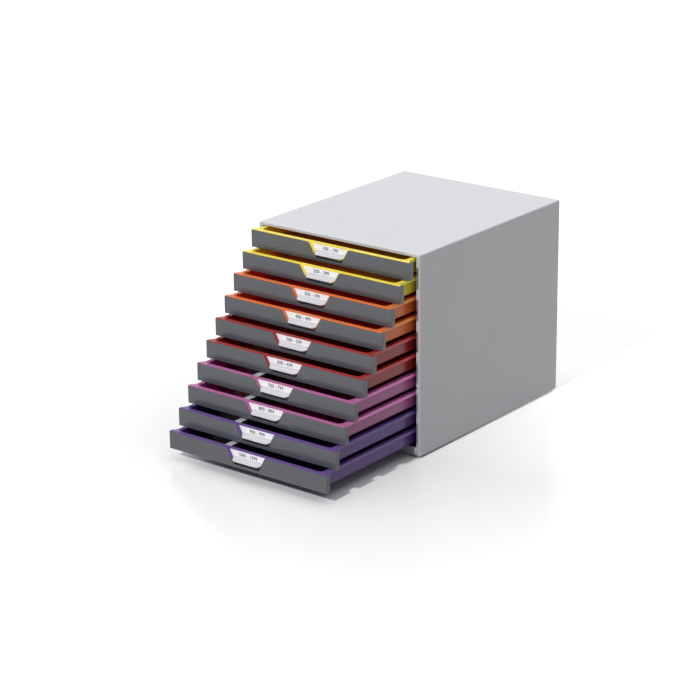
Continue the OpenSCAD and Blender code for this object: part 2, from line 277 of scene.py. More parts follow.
def edge_values(tree, strength):
    """The normal rounded over the edges, and a mask that rises on them."""
    rounded = add_node(tree, "ShaderNodeBevel", samples=6, inputs={"Radius": EDGE_RADIUS})
    surface = add_node(tree, "ShaderNodeNewGeometry")
    same = add_node(tree, "ShaderNodeVectorMath", operation="DOT_PRODUCT")
    wire(tree, rounded.outputs["Normal"], same.inputs[0])
    wire(tree, surface.outputs["Normal"], same.inputs[1])
    mask = add_node(tree, "ShaderNodeMapRange", inputs={
        "From Min": 1.0, "From Max": EDGE_FULL, "To Min": 0.0, "To Max": strength
    })
    wire(tree, same.outputs["Value"], mask.inputs["Value"])
    return rounded.outputs["Normal"], mask.outputs["Result"]


print("edges show within", round(EDGE_RADIUS / MM, 2), "mm")

# %% The plastic finish
PIGMENT_SCALE, GLOSS_SCALE = 14.0, 40.0
GLOSS_SPREAD, LEAST_ROUGHNESS = 0.04, 0.03
WORN_GAIN, WORN_LIFT = 1.25, 0.02
PAINTED_SHADE_DULLNESS = 0.3

def scaled(color, gain, lift=0.0):
    """A lighter colour: each channel times the gain plus the lift, at most 1."""
    return tuple(min(1.0, value * gain + lift) for value in color[:3]) + (1.0,)


def plastic(name, color, roughness, grain_size=0.7 * MM, grain_depth=0.02 * MM, variation=0.04,
            wear_and_highlight=0.25, wear_and_highlight_color=None, painted_shade_color=None, alpha=1.0, index=1.5):
    """Moulded plastic with pigment clouds, fine grain, uneven gloss, lighter edges and, where asked, painted
    shade.
    """
    material, tree, shader = new_material(name)
    place = add_node(tree, "ShaderNodeTexCoord").outputs["Object"]
    rounded_normal, on_edge = edge_values(tree, wear_and_highlight)

    pigment = add_node(tree, "ShaderNodeVectorMath", operation="SCALE", inputs={0: color[:3]})
    clouds = cloud_values(tree, PIGMENT_SCALE, 3.0, 1.0 - variation, 1.0 + variation, place)
    wire(tree, clouds, pigment.inputs["Scale"])
    # Painted shade: where the attribute rises, a darker second colour is mixed into the pigment
    if painted_shade_color:
        hollow = add_node(tree, "ShaderNodeAttribute", attribute_name="hollow")
        painted_shade_mix = add_node(tree, "ShaderNodeMix", data_type="VECTOR")
        painted_shade_mix.inputs["A"].default_value = color[:3]
        painted_shade_mix.inputs["B"].default_value = painted_shade_color[:3]
        wire(tree, hollow.outputs["Fac"], painted_shade_mix.inputs["Factor"])
        wire(tree, painted_shade_mix.outputs["Result"], pigment.inputs[0])
    # Lighter edges: wear, and on the trays, whose rims get a strong pale colour, a painted highlight too
    wear_and_highlight_mix = add_node(tree, "ShaderNodeMix", data_type="RGBA")
    wear_and_highlight_mix.inputs["B"].default_value = wear_and_highlight_color or scaled(color, WORN_GAIN, WORN_LIFT)
    wire(tree, on_edge, wear_and_highlight_mix.inputs["Factor"])
    wire(tree, pigment.outputs["Vector"], wear_and_highlight_mix.inputs["A"])
    wire(tree, wear_and_highlight_mix.outputs["Result"], shader.inputs["Base Color"])

    grain = add_node(tree, "ShaderNodeTexNoise", inputs={"Scale": 1.0 / grain_size, "Detail": 2.0})
    wire(tree, place, grain.inputs["Vector"])
    bump = add_node(tree, "ShaderNodeBump", inputs={"Strength": 0.5, "Distance": grain_depth})
    wire(tree, grain.outputs["Fac"], bump.inputs["Height"])
    wire(tree, rounded_normal, bump.inputs["Normal"])
    wire(tree, bump.outputs["Normal"], shader.inputs["Normal"])

    glossiest = max(LEAST_ROUGHNESS, roughness - GLOSS_SPREAD)
    gloss = cloud_values(tree, GLOSS_SCALE, 4.0, glossiest, roughness + GLOSS_SPREAD, place)
    if painted_shade_color:
        duller = add_node(tree, "ShaderNodeMath", operation="MULTIPLY_ADD", inputs={1: PAINTED_SHADE_DULLNESS})
        wire(tree, hollow.outputs["Fac"], duller.inputs[0])
        wire(tree, gloss, duller.inputs[2])
        gloss = duller.outputs[0]
    wire(tree, gloss, shader.inputs["Roughness"])
    shader.inputs["IOR"].default_value = index
    shader.inputs["Alpha"].default_value = alpha
    return material


def second_color(tree, share, color):
    """Mixes a second colour into a finish by the share that a socket gives."""
    base = tree.nodes["Principled BSDF"].inputs["Base Color"]
    mixed = add_node(tree, "ShaderNodeMix", data_type="RGBA")
    mixed.inputs["B"].default_value = color
    wire(tree, share, mixed.inputs["Factor"])
    wire(tree, base.links[0].from_socket, mixed.inputs["A"])
    wire(tree, mixed.outputs["Result"], base)


def tray_plastic(name, color, wear_and_highlight_color, painted_shade_color, lip_painted_light):
    """Glossy tray plastic: rims paler by wear and a painted highlight, painted shade inside, painted light
    on the lips.
    """
    # The pale rims at this strength are edge wear and a painted highlight
    material = plastic(name, color, 0.20, 3 * MM, 0.008 * MM, wear_and_highlight=0.85, wear_and_highlight_color=wear_and_highlight_color,
                       painted_shade_color=painted_shade_color, index=1.4)
    # The thin lips get painted light: a brighter copy of the wall colour
    lip = add_node(material.node_tree, "ShaderNodeAttribute", attribute_name="lip")
    second_color(material.node_tree, lip.outputs["Fac"], scaled(color, lip_painted_light))
    return material


# %% [markdown]
# The record names a material slot for every node, and each slot gets its finish here. The casing and racks
# are a plain, hardly varied grey, and the fronts are dark and glossy. The trays come in five colours. Their
# plastic is thin and lets some light through, and each tray gets three more colours: the rims are painted
# paler than the walls, as edge wear and a painted highlight; the inside gets a painted shade, a deeper
# colour; and the thin lips get painted light, a brighter colour.

# %% Mix the finishes
# After its colour, a finish has its roughness and, where it isn't the usual one, its grain's size and depth
finishes = {
    # The casing's second colour is a painted shade on the front faces of its rim and base
    "casing_plastic": plastic("casing_plastic", srgb(203, 203, 208), 0.40, variation=0.015,
                              painted_shade_color=srgb(157, 157, 162)),
    "rack_plastic": plastic("rack_plastic", srgb(176, 176, 180), 0.40, variation=0.02),
    "foot_rubber": plastic("foot_rubber", srgb(38, 38, 40), 0.80, 0.5 * MM, 0.04 * MM),
    # The fronts' second colour is a painted shade in their finger pockets
    "front_plastic": plastic("front_plastic", srgb(77, 80, 86), 0.20, variation=0.03, wear_and_highlight=0.08,
                             painted_shade_color=srgb(40, 42, 45), index=1.6),
    "window_clear": plastic("window_clear", srgb(240, 244, 246), 0.06, 4 * MM, 0.004 * MM, wear_and_highlight=0.1,
                            alpha=0.10),
    "divider_plastic": plastic("divider_plastic", srgb(200, 202, 208), 0.30, alpha=0.80),
    "card_paper": plastic("card_paper", srgb(248, 245, 249), 0.75, 0.3 * MM, 0.015 * MM, 0.02, wear_and_highlight=0.0),
}
# Each tray's wall, its rim (edge wear and a painted highlight), the painted shade inside it, and how many
# times brighter than the wall the painted light makes its thin lips
TRAY_FINISHES = {
    "tray_yellow": ((240, 217, 62), (242, 236, 168), (238, 160, 22), 1.4),
    "tray_orange": ((220, 106, 40), (226, 162, 116), (226, 66, 16), 2.2),
    "tray_red": ((152, 36, 34), (156, 88, 84), (168, 34, 24), 1.9),
    "tray_magenta": ((172, 92, 146), (176, 136, 166), (176, 48, 124), 2.2),
    "tray_violet": ((96, 66, 134), (92, 78, 114), (62, 44, 84), 1.4),
}
for name, (wall, rim, hollow, lip_painted_light) in TRAY_FINISHES.items():
    finishes[name] = tray_plastic(name, srgb(*wall), srgb(*rim), srgb(*hollow), lip_painted_light)
print("finishes:", ", ".join(finishes))

# %% [markdown]
# Two finishes change colour with the slope of the surface. The label card is white, and grey along its
# sloping foot, where its surface faces upwards. The clear dividers are pale from above, and their sides are
# painted dark: a painted shade for the shade of the tray that shows in them. The height of the surface
# normal
# tells the places apart: 1 faces up and 0 faces sideways.

# %% Colours that follow the slope
# Each finish, the normal's height where its second colour starts and where it is full, and that colour
SLOPE_FINISHES = (
    ("card_paper", 0.1, 0.3, srgb(196, 193, 199)),
    # The dividers' dark sides are painted shade
    ("divider_plastic", 0.6, 0.2, srgb(58, 56, 62)),
)

def slope_share(tree, start, full):
    """A socket that is 0 where the normal's height is start and 1 where it is full."""
    surface = add_node(tree, "ShaderNodeNewGeometry")
    height = add_node(tree, "ShaderNodeSeparateXYZ")
    wire(tree, surface.outputs["True Normal"], height.inputs["Vector"])
    share = add_node(tree, "ShaderNodeMapRange", inputs={"From Min": start, "From Max": full})
    wire(tree, height.outputs["Z"], share.inputs["Value"])
    return share.outputs["Result"]


for name, start, full, color in SLOPE_FINISHES:
    tree = finishes[name].node_tree
    second_color(tree, slope_share(tree, start, full), color)
    print(name, "has a second colour")

# %% [markdown]
# ## Softened mouldings
# The construction model has sharp edges, and real mouldings don't: a thin bright line runs along each edge
# where it turns. We copy a node's mesh, merge its loose triangles, dissolve the flat ones into whole faces,
# and bevel the sharp edges. Where a wide panel meets a narrow rounded strip, a crease in the shading keeps
# the panel flat.

# %% A helper that softens a node's edges
SHARP = math.radians(30)
NEARLY_FLAT = math.radians(1)
MERGE_DISTANCE = 0.03 * MM
PANEL_AREA, PANEL_RATIO = 60 * MM ** 2, 20
BEVEL_SEGMENTS = 2

def add_object(name, data):
    """An object with the mesh or text, linked to the scene."""
    thing = bpy.data.objects.new(name, data)
    bpy.context.scene.collection.objects.link(thing)
    return thing


def mesh_from(work, name):
    """A new mesh from an edited one, which is freed."""
    mesh = bpy.data.meshes.new(name)
    work.to_mesh(mesh)
    work.free()
    return mesh


def plain_mesh(thing):
    """The object with its modifiers applied and removed."""
    graph = bpy.context.evaluated_depsgraph_get()
    made = bpy.data.meshes.new_from_object(thing.evaluated_get(graph), preserve_all_data_layers=True,
                                           depsgraph=graph)
    thing.modifiers.clear()
    thing.data = made
    return thing


def borders_panel(edge):
    """True where a wide flat panel meets a narrow curved strip: there the panel's shading must stay flat."""
    areas = sorted(f.calc_area() for f in edge.link_faces)
    return areas[-1] > PANEL_AREA and areas[-1] > PANEL_RATIO * areas[0]


def softened(node, name, radius, chosen=lambda middle: True):
    """A copy of a node whose sharp edges are rounded, as an object of its own."""
    work = bmesh.new()
    work.from_mesh(frame["nodes"][node].data)
    bmesh.ops.remove_doubles(work, verts=work.verts, dist=MERGE_DISTANCE)
    bmesh.ops.dissolve_limit(work, angle_limit=NEARLY_FLAT, verts=work.verts, edges=work.edges)
    sharp = [
        e for e in work.edges
        if e.calc_face_angle(0.0) > SHARP and chosen((e.verts[0].co + e.verts[1].co) / 2)
    ]
    bmesh.ops.bevel(work, geom=sharp, offset=radius, offset_type="OFFSET", segments=BEVEL_SEGMENTS,
                    profile=0.5, affect="EDGES", clamp_overlap=False)
    creased = {e for e in work.edges if e.calc_face_angle(0.0) > SHARP or borders_panel(e)}
    bmesh.ops.triangulate(work, faces=[f for f in work.faces if len(f.verts) > 4], quad_method="BEAUTY",
                          ngon_method="BEAUTY")
    for face in work.faces:
        face.smooth = True
    for edge in work.edges:
        edge.smooth = edge not in creased
    return add_object(name, mesh_from(work, name))


print("panels are faces of over", round(PANEL_AREA / MM ** 2), "square mm")

# %% [markdown]
# The record gives each node's material slot and body. So one function can dress any piece: it gets the
# finish of the node that it stands for, and rides on the same body.

# %% A helper that dresses a piece
slot_of = {s["node"]: s["material_slot"] for s in frame["record"]["subparts"]}
body_of = {n: b for b, nodes in frame["record"]["behaviour"]["bodies"].items() for n in nodes}

def dress(thing, node):
    """Gives a piece the finish of the node that it stands for, and lets it ride on that node's body."""
    thing.data.materials.clear()
    thing.data.materials.append(finishes[slot_of[node]])
    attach(thing, body_of[node])
    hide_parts(node)
    return thing


# %% [markdown]
# ## Casing
# The casing is one arched hood with a folded rim, a base plate, a back panel and four rubber feet. The front
# faces of the rim and the base get a painted shade, a darker colour, more so towards the desk, and are a
# little duller than the rest. The finish reads that from an attribute, which Blender blends from the rim's
# top to its foot.
# The construction model already holds these shapes, so we soften them and don't model them again.

# %% Soften the casing's parts
CASING_RADII = {"casing_hood": 0.7, "base_plate": 0.6, "back_panel": 0.35, "feet": 0.6}
RIM_FACE_DEPTH, RIM_FOOT_HEIGHT, RIM_UPPER_SHADE = 0.05 * MM, 60 * MM, 0.25
casing_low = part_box("casing_hood")[0]

def mark(mesh, attribute, share):
    """Writes an attribute that a finish reads: a share from 0 to 1 for every point."""
    values = mesh.attributes.new(attribute, "FLOAT", "POINT")
    values.data.foreach_set("value", [float(share(v.co)) for v in mesh.vertices])


def rim_shade(point):
    """How much painted shade a point of the casing gets: fully on the rim near the desk, less on the rim
    higher up.
    """
    if point.y > casing_low.y + RIM_FACE_DEPTH:
        return 0.0
    return 1.0 if point.z < casing_low.z + RIM_FOOT_HEIGHT else RIM_UPPER_SHADE


for node, radius in CASING_RADII.items():
    piece = dress(softened(node, node + "_moulded", radius * MM), node)
    # Painted shade on the front faces of the rim and the base
    mark(piece.data, "hollow", rim_shade)
print("casing parts:", ", ".join(CASING_RADII))

# %% [markdown]
# ## Racks
# Inside the casing the trays run in plastic racks, two drawers to a rack. Each rack is an upright web with a
# rail under and a keeper over every flange, spacers to the casing's wall behind it, stop bosses in front and
# a clip at the rim. All these bars are one shape that repeats, so Geometry Nodes make them: one small tree
# draws a rounded rectangle out by the bar's depth, and copies the bar upwards or backwards by a step.
# A second tree joins the bars of a rack into one closed moulding with a Mesh Boolean.

# %% A helper that starts a tree
FLOAT, VECTOR = "NodeSocketFloat", "NodeSocketVector"
COUNT, MATERIAL = "NodeSocketInt", "NodeSocketMaterial"
NOWHERE = (0, 0, 0)

def new_tree(name, inputs):
    """A Geometry Nodes tree with named inputs, its group input and its group output."""
    tree = bpy.data.node_groups.new(name, "GeometryNodeTree")
    for key, (kind, value) in inputs.items():
        socket = tree.interface.new_socket(key, in_out="INPUT", socket_type=kind)
        if value is not None:
            socket.default_value = value
    tree.interface.new_socket("Geometry", in_out="OUTPUT", socket_type="NodeSocketGeometry")
    return tree, tree.nodes.new("NodeGroupInput"), tree.nodes.new("NodeGroupOutput")


print("inputs can be", ", ".join((FLOAT, VECTOR, COUNT, MATERIAL)))

# %% A tree for rounded bars
bar_tree, given, result = new_tree("rounded bars", {
    "Low": (VECTOR, NOWHERE), "High": (VECTOR, NOWHERE), "Edge radius": (FLOAT, 0.3 * MM),
    "Count": (COUNT, 1), "Step": (VECTOR, NOWHERE),
})

# A rounded rectangle, as wide and as high as the bar
size = add_node(bar_tree, "ShaderNodeVectorMath", operation="SUBTRACT")
wire(bar_tree, given.outputs["High"], size.inputs[0])
wire(bar_tree, given.outputs["Low"], size.inputs[1])
sides = add_node(bar_tree, "ShaderNodeSeparateXYZ")
wire(bar_tree, size.outputs["Vector"], sides.inputs["Vector"])
outline = add_node(bar_tree, "GeometryNodeCurvePrimitiveQuadrilateral", mode="RECTANGLE")
wire(bar_tree, sides.outputs["X"], outline.inputs["Width"])
wire(bar_tree, sides.outputs["Z"], outline.inputs["Height"])
rounding = add_node(bar_tree, "GeometryNodeFilletCurve", inputs={"Count": 3}, mode="POLY")
wire(bar_tree, outline.outputs["Curve"], rounding.inputs["Curve"])
wire(bar_tree, given.outputs["Edge radius"], rounding.inputs["Radius"])

# It is filled and drawn out by the bar's depth, and the fill itself, turned over, closes the other end
plate = add_node(bar_tree, "GeometryNodeFillCurve", mode="NGONS")
wire(bar_tree, rounding.outputs["Curve"], plate.inputs["Curve"])
depth = add_node(bar_tree, "ShaderNodeCombineXYZ", inputs={"X": 0.0, "Y": 0.0})
wire(bar_tree, sides.outputs["Y"], depth.inputs["Z"])
drawn = add_node(bar_tree, "GeometryNodeExtrudeMesh", mode="FACES", inputs={"Individual": False})
wire(bar_tree, plate.outputs["Mesh"], drawn.inputs["Mesh"])
wire(bar_tree, depth.outputs["Vector"], drawn.inputs["Offset"])
closed = add_node(bar_tree, "GeometryNodeJoinGeometry")
back_face = add_node(bar_tree, "GeometryNodeFlipFaces")
wire(bar_tree, plate.outputs["Mesh"], back_face.inputs["Mesh"])
wire(bar_tree, back_face.outputs["Mesh"], closed.inputs[0])
wire(bar_tree, drawn.outputs["Mesh"], closed.inputs[0])
merged = add_node(bar_tree, "GeometryNodeMergeByDistance", inputs={"Distance": 0.001 * MM})
wire(bar_tree, closed.outputs["Geometry"], merged.inputs["Geometry"])

# Laid down, it runs from its start to the front, so its start lies a whole depth behind the low corner
middle = add_node(bar_tree, "ShaderNodeVectorMath", operation="MULTIPLY_ADD", inputs={1: (0.5, 1.0, 0.5)})
wire(bar_tree, size.outputs["Vector"], middle.inputs[0])
wire(bar_tree, given.outputs["Low"], middle.inputs[2])
lying = add_node(bar_tree, "GeometryNodeTransform", inputs={"Rotation": (math.radians(90), 0, 0)})
wire(bar_tree, merged.outputs["Geometry"], lying.inputs["Geometry"])
wire(bar_tree, middle.outputs["Vector"], lying.inputs["Translation"])

# A copy at every step
places = add_node(bar_tree, "GeometryNodeMeshLine", mode="OFFSET", count_mode="TOTAL")
wire(bar_tree, given.outputs["Count"], places.inputs["Count"])
wire(bar_tree, given.outputs["Step"], places.inputs["Offset"])
copies = add_node(bar_tree, "GeometryNodeInstanceOnPoints")
wire(bar_tree, places.outputs["Mesh"], copies.inputs["Points"])
wire(bar_tree, lying.outputs["Geometry"], copies.inputs["Instance"])
real = add_node(bar_tree, "GeometryNodeRealizeInstances")
wire(bar_tree, copies.outputs["Instances"], real.inputs["Geometry"])
wire(bar_tree, real.outputs["Geometry"], result.inputs["Geometry"])
print("bar tree:", len(bar_tree.nodes), "nodes")

# %% A tree for a whole rack
def bar_inputs(bar):
    """The group inputs that give one kind of bar its corners, number and step."""
    return {
        bar + " low": (VECTOR, NOWHERE), bar + " high": (VECTOR, NOWHERE),
        bar + " count": (COUNT, 1), bar + " step": (VECTOR, NOWHERE),
    }


def bar_group(tree, given, bar):
    """A group node that makes one kind of bar from the tree's own inputs."""
    part = add_node(tree, "GeometryNodeGroup", node_tree=bar_tree)
    wire(tree, given.outputs["Edge radius"], part.inputs["Edge radius"])
    for key, tail in (("Low", " low"), ("High", " high"), ("Count", " count"), ("Step", " step")):
        wire(tree, given.outputs[bar + tail], part.inputs[key])
    return part


def place_and_finish(tree, given, mesh, result):
    """Moves the mesh to its place, makes its instances real, and gives it its material."""
    placed = add_node(tree, "GeometryNodeTransform")
    wire(tree, mesh, placed.inputs["Geometry"])
    wire(tree, given.outputs["Place"], placed.inputs["Translation"])
    real = add_node(tree, "GeometryNodeRealizeInstances")
    wire(tree, placed.outputs["Geometry"], real.inputs["Geometry"])
    finished = add_node(tree, "GeometryNodeSetMaterial")
    wire(tree, real.outputs["Geometry"], finished.inputs["Geometry"])
    wire(tree, given.outputs["Finish"], finished.inputs["Material"])
    wire(tree, finished.outputs["Geometry"], result.inputs["Geometry"])


def tree_of_bars(name, bars):
    """A tree with inputs for its finish, edges, place and every kind of bar, still without its own nodes."""
    inputs = {"Finish": (MATERIAL, None), "Edge radius": (FLOAT, 0.3 * MM), "Place": (VECTOR, NOWHERE)}
    for bar in bars:
        inputs.update(bar_inputs(bar))
    return new_tree(name, inputs)


RACK_BARS = ("Web", "Rails", "Keepers", "Bosses", "Spacers", "Clip")
rack_tree, given, result = tree_of_bars("rack moulding", RACK_BARS)
union = add_node(rack_tree, "GeometryNodeMeshBoolean", operation="UNION", solver="EXACT")
union.inputs["Self Intersection"].default_value = True
for bar in RACK_BARS:
    wire(rack_tree, bar_group(rack_tree, given, bar).outputs["Geometry"], union.inputs["Mesh 2"])
place_and_finish(rack_tree, given, union.outputs["Mesh"], result)
print("rack tree:", len(rack_tree.nodes), "nodes,", len(rack_tree.interface.items_tree) - 1, "inputs")

# %% [markdown]
# The sizes below are the ones of the construction model, in millimetres. They are measured from the middle
# of the box, from the casing's front edge and from the lower drawer of a rack. The table gives each kind of
# bar its low corner, its high corner, its number and its step. The bars sink a little into what carries
# them, so that they join.

# %% The sizes of a rack's bars
CASING_FRONT = casing_low.y / MM
FIRST_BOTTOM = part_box("drawer_front_01")[0].z / MM
PITCH = 27.2
SINK = 0.5
WEB_IN, WEB_OUT, CASING_IN = 132.2, 134.2, 137.4
RACK_FRONT, RACK_BACK = 6.2, 333.2
RACK_LOW, RACK_HIGH = 1.2, 55.4
RAIL_IN, RAIL_LOW, RAIL_HIGH = 126.6, 19.3, 21.1
KEEPER_IN, KEEPER_LOW, KEEPER_HIGH = 127.4, 26.3, 27.6
BOSS_IN, BOSS_LOW, BOSS_HIGH, BOSS_LENGTH = 131.3, 22.3, 24.8, 4.0
CLIP_FRONT, CLIP_OUT, CLIP_LOW, CLIP_HIGH = 3.0, 135.0, 30.8, 33.2
SPACERS, SPACER_THICKNESS, SPACER_SHORTER = 6, 2.0, 1.0
SPACER_STEP = (RACK_BACK - RACK_FRONT - SPACER_THICKNESS) / (SPACERS - 1)
INTO_WEB = WEB_IN + SINK
UPWARDS = (0, 0, PITCH)

rack_sizes = {
    "Web": ((WEB_IN, RACK_FRONT, RACK_LOW), (WEB_OUT, RACK_BACK, RACK_HIGH), 1, NOWHERE),
    "Rails": ((RAIL_IN, RACK_FRONT, RAIL_LOW), (INTO_WEB, RACK_BACK, RAIL_HIGH), 2, UPWARDS),
    "Keepers": ((KEEPER_IN, RACK_FRONT, KEEPER_LOW), (INTO_WEB, RACK_BACK, KEEPER_HIGH), 2, UPWARDS),
    "Bosses": ((BOSS_IN, RACK_FRONT, BOSS_LOW), (INTO_WEB, RACK_FRONT + BOSS_LENGTH, BOSS_HIGH), 2, UPWARDS),
    "Spacers": ((WEB_OUT - SINK, RACK_FRONT, RACK_LOW),
                (CASING_IN, RACK_FRONT + SPACER_THICKNESS, RACK_HIGH - SPACER_SHORTER),
                SPACERS, (0, SPACER_STEP, 0)),
    "Clip": ((WEB_IN, CLIP_FRONT, CLIP_LOW), (CLIP_OUT, RACK_FRONT + SINK, CLIP_HIGH), 1, NOWHERE),
}
print("spacers stand", SPACER_STEP, "mm apart")

# %% Helpers that use a tree
def metres(values):
    """Millimetres as metres."""
    return tuple(v * MM for v in values)


def from_tree(tree, name, values):
    """A plain mesh object from a tree; the values go in by each socket's identifier."""
    thing = add_object(name, bpy.data.meshes.new(name))
    modifier = thing.modifiers.new("shape", "NODES")
    modifier.node_group = tree
    sockets = {s.name: s.identifier for s in tree.interface.items_tree if s.in_out == "INPUT"}
    for key, value in values.items():
        modifier[sockets[key]] = value
    return plain_mesh(thing)


def mirror(mesh):
    """Turns the mesh into its mirror image across the middle, with its faces pointing outwards again."""
    mesh.transform(Matrix.Diagonal((-1, 1, 1, 1)))
    mesh.flip_normals()


def bar_values(sizes):
    """The values of all bars as the trees' inputs, in metres."""
    values = {}
    for bar, (low, high, count, step) in sizes.items():
        values.update({bar + " low": metres(low), bar + " high": metres(high), bar + " count": count,
                       bar + " step": metres(step)})
    return values


print("a rack's tree takes", len(bar_values(rack_sizes)), "sizes")

# %% Make the ten racks
values = {"Finish": finishes["rack_plastic"], "Edge radius": 0.25 * MM, **bar_values(rack_sizes)}
for row in range(1, 6):
    values["Place"] = metres((0, CASING_FRONT, FIRST_BOTTOM - PITCH * (2 * row - 1)))
    for side in ("right", "left"):
        node = f"rack_{side}_{row:02d}"
        rack = from_tree(rack_tree, node + "_moulded", values)
        if side == "left":
            mirror(rack.data)
        dress(rack, node)
print("each rack has", len(rack.data.polygons), "faces")

# %% [markdown]
# ## Drawers
# A drawer is a coloured tray, a dark front that clips over its front wall, and a small clear window with a
# card behind it. All ten are the same moulding in other colours, each a step lower and further out. So each
# shape is softened once, for the top drawer, and its copies are moved by the step from node to node.
# The inside of the tray keeps its exact edges: its round floor corners are already in the model. An
# attribute marks the inside of the tray and the front's finger pocket for painted shade. The thin lips at
# the sides of the tray's flanges let light through, and get painted light for it: an attribute of their own
# marks them for a brighter colour.

# %% Places in a drawer
# In mm, measured as drawer_place does
DRAWERS = range(1, 11)
HOLLOW_HALF, HOLLOW_FRONT, HOLLOW_BACK, HOLLOW_TOP = 124.9, 7.0, 341.1, 25.5
LIP_IN, LIP_FRONT, LIP_TOP = 129.0, 8.5, 25.85
POCKET_HALF, POCKET_FRONT, POCKET_TOP = 30.0, 1.0, 11.0

def front_corner(k):
    """The middle of the lower front edge of drawer k."""
    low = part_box(f"drawer_front_{k:02d}")[0]
    return Vector((0.0, low.y, low.z))


top_drawer = front_corner(1)

def drawer_place(point):
    """A point's place in the top drawer in mm: out from the middle, in from the front and up."""
    place = (point - top_drawer) / MM
    return abs(place.x), place.y, place.z


def in_hollow(point):
    """True for a point of the tray's inner walls and floor."""
    x, y, z = drawer_place(point)
    return x < HOLLOW_HALF and HOLLOW_FRONT < y < HOLLOW_BACK and z < HOLLOW_TOP


def outside_hollow(point):
    """True for a point anywhere else on the tray."""
    return not in_hollow(point)


def on_lip(point):
    """True for a point of the lips at the sides of the tray's flanges, below the flanges' upper face."""
    x, y, z = drawer_place(point)
    return x > LIP_IN and y > LIP_FRONT and z < LIP_TOP


def in_pocket(point):
    """True for a point inside the front's finger pocket."""
    x, y, z = drawer_place(point)
    return x < POCKET_HALF and y > POCKET_FRONT and z < POCKET_TOP


print("the top drawer starts at", [round(v / MM, 1) for v in top_drawer])

# %% Soften one drawer and copy it
def every_drawer(kind, radius, marks, chosen=lambda middle: True):
    """Softens and marks the first node of a kind, and dresses it and its moved copies as all ten."""
    lows = {k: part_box(f"{kind}_{k:02d}")[0] for k in DRAWERS}
    first = softened(f"{kind}_01", f"{kind}_01_moulded", radius * MM, chosen)
    for attribute, share in marks.items():
        mark(first.data, attribute, share)
    for k in DRAWERS:
        node = f"{kind}_{k:02d}"
        piece = first
        if k > 1:
            mesh = first.data.copy()
            mesh.transform(Matrix.Translation(lows[k] - lows[1]))
            piece = add_object(node + "_moulded", mesh)
        dress(piece, node)
    print(kind, "has", len(first.data.polygons), "faces")


# Painted shade inside the tray and in the front's pocket, painted light on the tray's lips
every_drawer("drawer_tray", 0.3, {"hollow": in_hollow, "lip": on_lip}, outside_hollow)
every_drawer("drawer_front", 0.35, {"hollow": in_pocket})

# %% [markdown]
# ## Labels
# Each front has a grip notch with a clear window in it, which flares at its foot into a finger lip. A card
# lies behind the window and follows its shape, and two small cheeks of the tray hold both at the corners.
# All three are the same sheet at other depths, so one function lofts it: rows go down the plate and out
# along the lip, columns go across the notch, and the lip's corners are rounded by drawing in its reach. A
# lofted sheet keeps its thickness round the bend, which a bent block wouldn't.

# %% A sheet that flares into a lip
# Heights are in mm above the front's lower edge, depths in mm behind its face. The lip's reach is drawn in
# from CORNER_START outwards, which is a share of the sheet's half width.
SHEET_TOP, SHEET_BEND, SHEET_FOOT = 23.0, 14.6, 11.4
SHEET_FACE, SHEET_REACH = 3.3, 7.6
CORNER_START = 0.74
NOTCH_LOW, NOTCH_LOW_HALF = 4.0, 21.2
NOTCH_TOP, NOTCH_TOP_HALF = 24.8, 33.0
ROWS, COLUMNS = 18, 40

def notch_half(z):
    """Half the width between the notch's lined slopes at a height above the front's lower edge."""
    slope = (NOTCH_TOP_HALF - NOTCH_LOW_HALF) / (NOTCH_TOP - NOTCH_LOW)
    return NOTCH_LOW_HALF + slope * (z - NOTCH_LOW)


def sheet_place(u, v, depth):
    """How far in and how high a sheet's point is: u goes across from -1 to 1, v down from 0 to 1."""
    def face(v):
        """Depth and height of the sheet's outer face."""
        z = SHEET_TOP + (SHEET_FOOT - SHEET_TOP) * v
        out = max(0.0, (SHEET_BEND - z) / (SHEET_BEND - SHEET_FOOT)) ** 2
        corner = max(0.0, (abs(u) - CORNER_START) / (1.0 - CORNER_START))
        return Vector((SHEET_FACE - SHEET_REACH * out * math.sqrt(max(0.0, 1.0 - corner ** 2)), z))
    here, along = face(v), (face(v + 0.01) - face(v - 0.01)).normalized()
    return here.x - depth * along.y, here.y + depth * along.x


def sheet_grid(work, span, depth, gap):
    """Rows of points at one depth of the sheet, closer together towards the ends of its full width."""
    grid = []
    for row in range(ROWS + 1):
        line = []
        for column in range(COLUMNS + 1):
            u = math.sin(math.radians(90) * (span[0] + (span[1] - span[0]) * column / COLUMNS))
            y, z = sheet_place(u, row / ROWS, depth)
            x = u * (notch_half(z) - gap)
            line.append(work.verts.new(top_drawer + Vector((x, y, z)) * MM))
        grid.append(line)
    return grid


def sheet_mesh(name, front, back, gap, spans=((-1.0, 1.0),)):
    """A closed sheet between two depths, for each span across the notch, placed in the top drawer."""
    work = bmesh.new()
    for span in spans:
        outer, inner = (sheet_grid(work, span, depth, gap) for depth in (front, back))
        for r in range(ROWS):
            for c in range(COLUMNS):
                work.faces.new((outer[r][c], outer[r + 1][c], outer[r + 1][c + 1], outer[r][c + 1]))
                work.faces.new((inner[r][c], inner[r][c + 1], inner[r + 1][c + 1], inner[r + 1][c]))
        border = [(0, c) for c in range(COLUMNS)] + [(r, COLUMNS) for r in range(ROWS)]
        border += [(ROWS, c) for c in range(COLUMNS, 0, -1)] + [(r, 0) for r in range(ROWS, 0, -1)]
        for (r, c), (next_r, next_c) in zip(border, border[1:] + border[:1]):
            work.faces.new((outer[r][c], outer[next_r][next_c], inner[next_r][next_c], inner[r][c]))
    bmesh.ops.recalc_face_normals(work, faces=work.faces)
    for face in work.faces:
        face.smooth = True
    for edge in work.edges:
        edge.smooth = edge.calc_face_angle(0.0) < SHARP
    return mesh_from(work, name)


